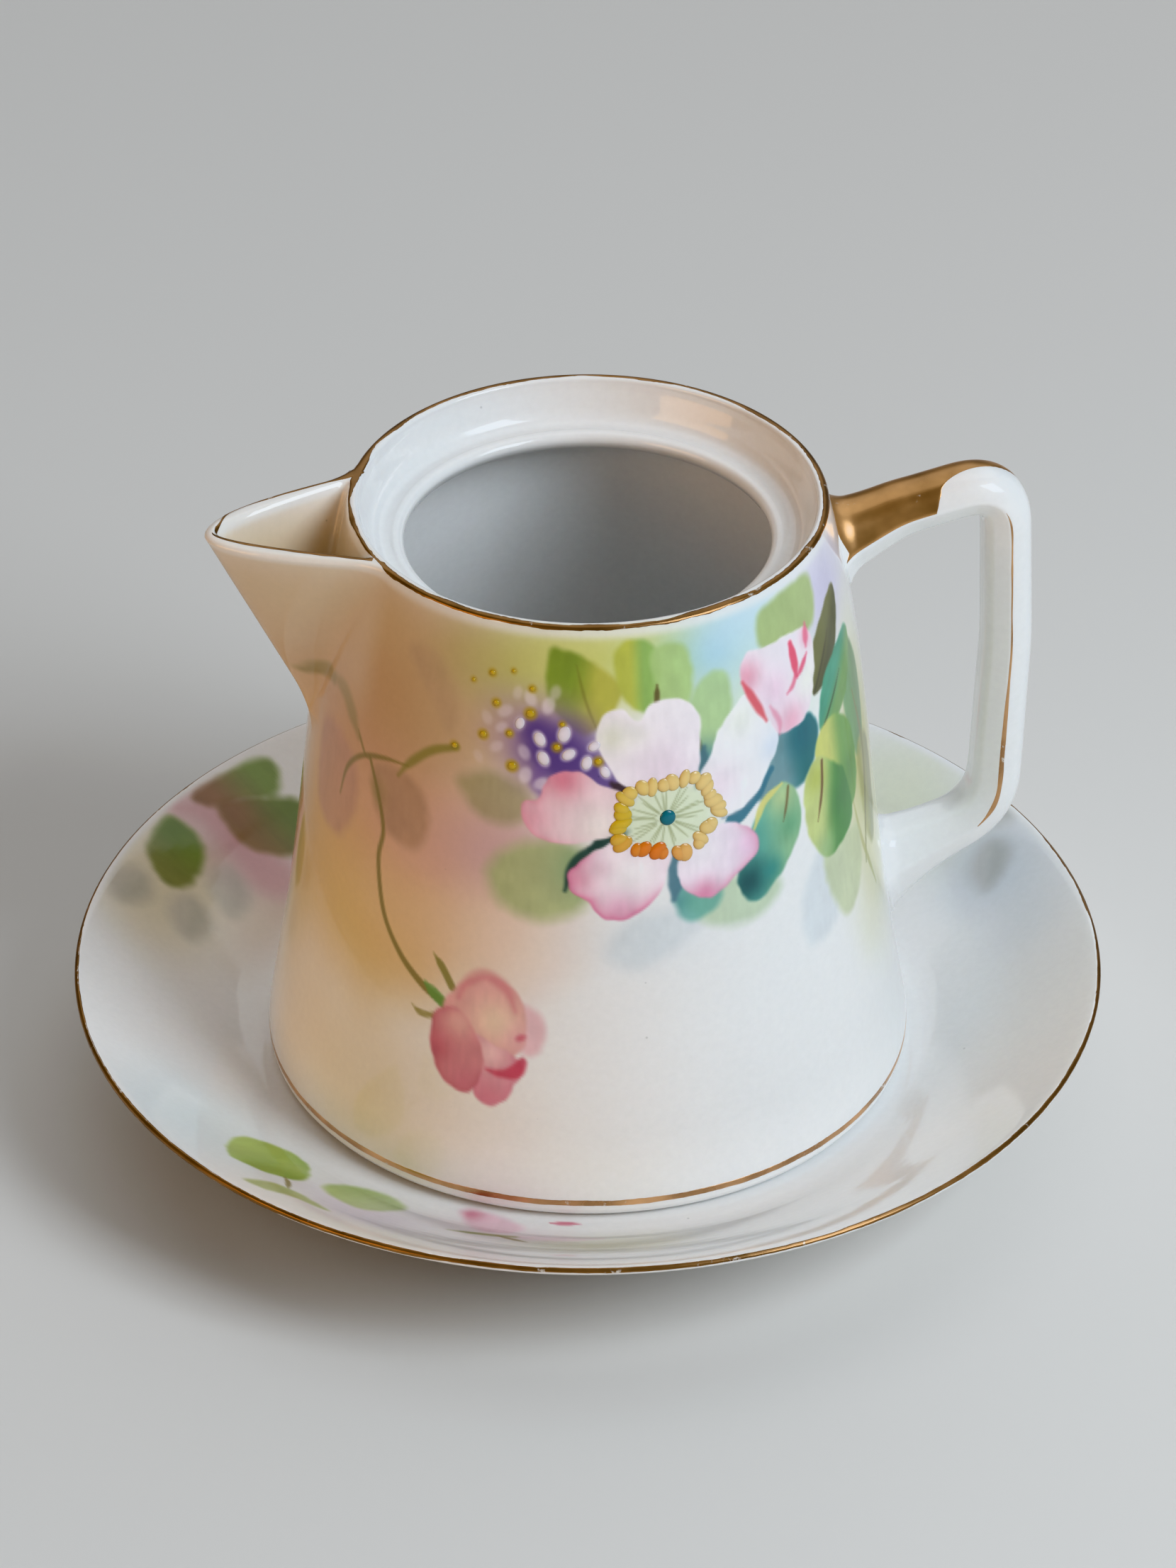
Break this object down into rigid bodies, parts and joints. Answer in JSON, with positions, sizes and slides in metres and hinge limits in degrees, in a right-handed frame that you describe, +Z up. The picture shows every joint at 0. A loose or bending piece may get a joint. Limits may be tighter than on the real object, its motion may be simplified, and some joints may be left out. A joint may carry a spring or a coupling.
{
  "type": "porcelain cream jug with underplate",
  "caption": "Covered-type cream jug with a tapering round body, V-shaped spout and angular loop handle, standing on its matching underplate.",
  "frame": {"origin": "centre of the underplate's foot ring, in the plane it rests on, on the axis of the jug and the underplate", "axes": "+Z up along the axis of the jug; +X through the handle; the spout points along -X"},
  "size_m": [0.1508, 0.1508, 0.0994],
  "materials": {
    "painted_porcelain": "glossy clear glaze over hand-painted enamel flowers and soft colour washes",
    "glazed_porcelain": "glossy clear glaze, warm blush wash",
    "handle_porcelain": "glossy clear glaze, white",
    "underplate_porcelain": "glossy clear glaze over painted leaves and washes",
    "antique_gilding": "fired-on gold, brownish and worn"
  },
  "bodies": {
    "underplate": {"underplate": "underplate_porcelain", "underplate_gilding": "antique_gilding"},
    "jug": {"jug_body": "painted_porcelain", "spout": "glazed_porcelain", "handle": "handle_porcelain", "rim_gilding": "antique_gilding", "spout_gilding": "antique_gilding", "foot_gilding": "antique_gilding", "handle_panel_gilding": "antique_gilding", "handle_line_gilding_left": "antique_gilding", "handle_line_gilding_right": "antique_gilding"}
  },
  "joints": [
    {"name": "jug_lift", "type": "slide", "parent": "underplate", "child": "jug", "axis": [0, 0, 1], "range_m": [0, 0.06]}
  ]
}
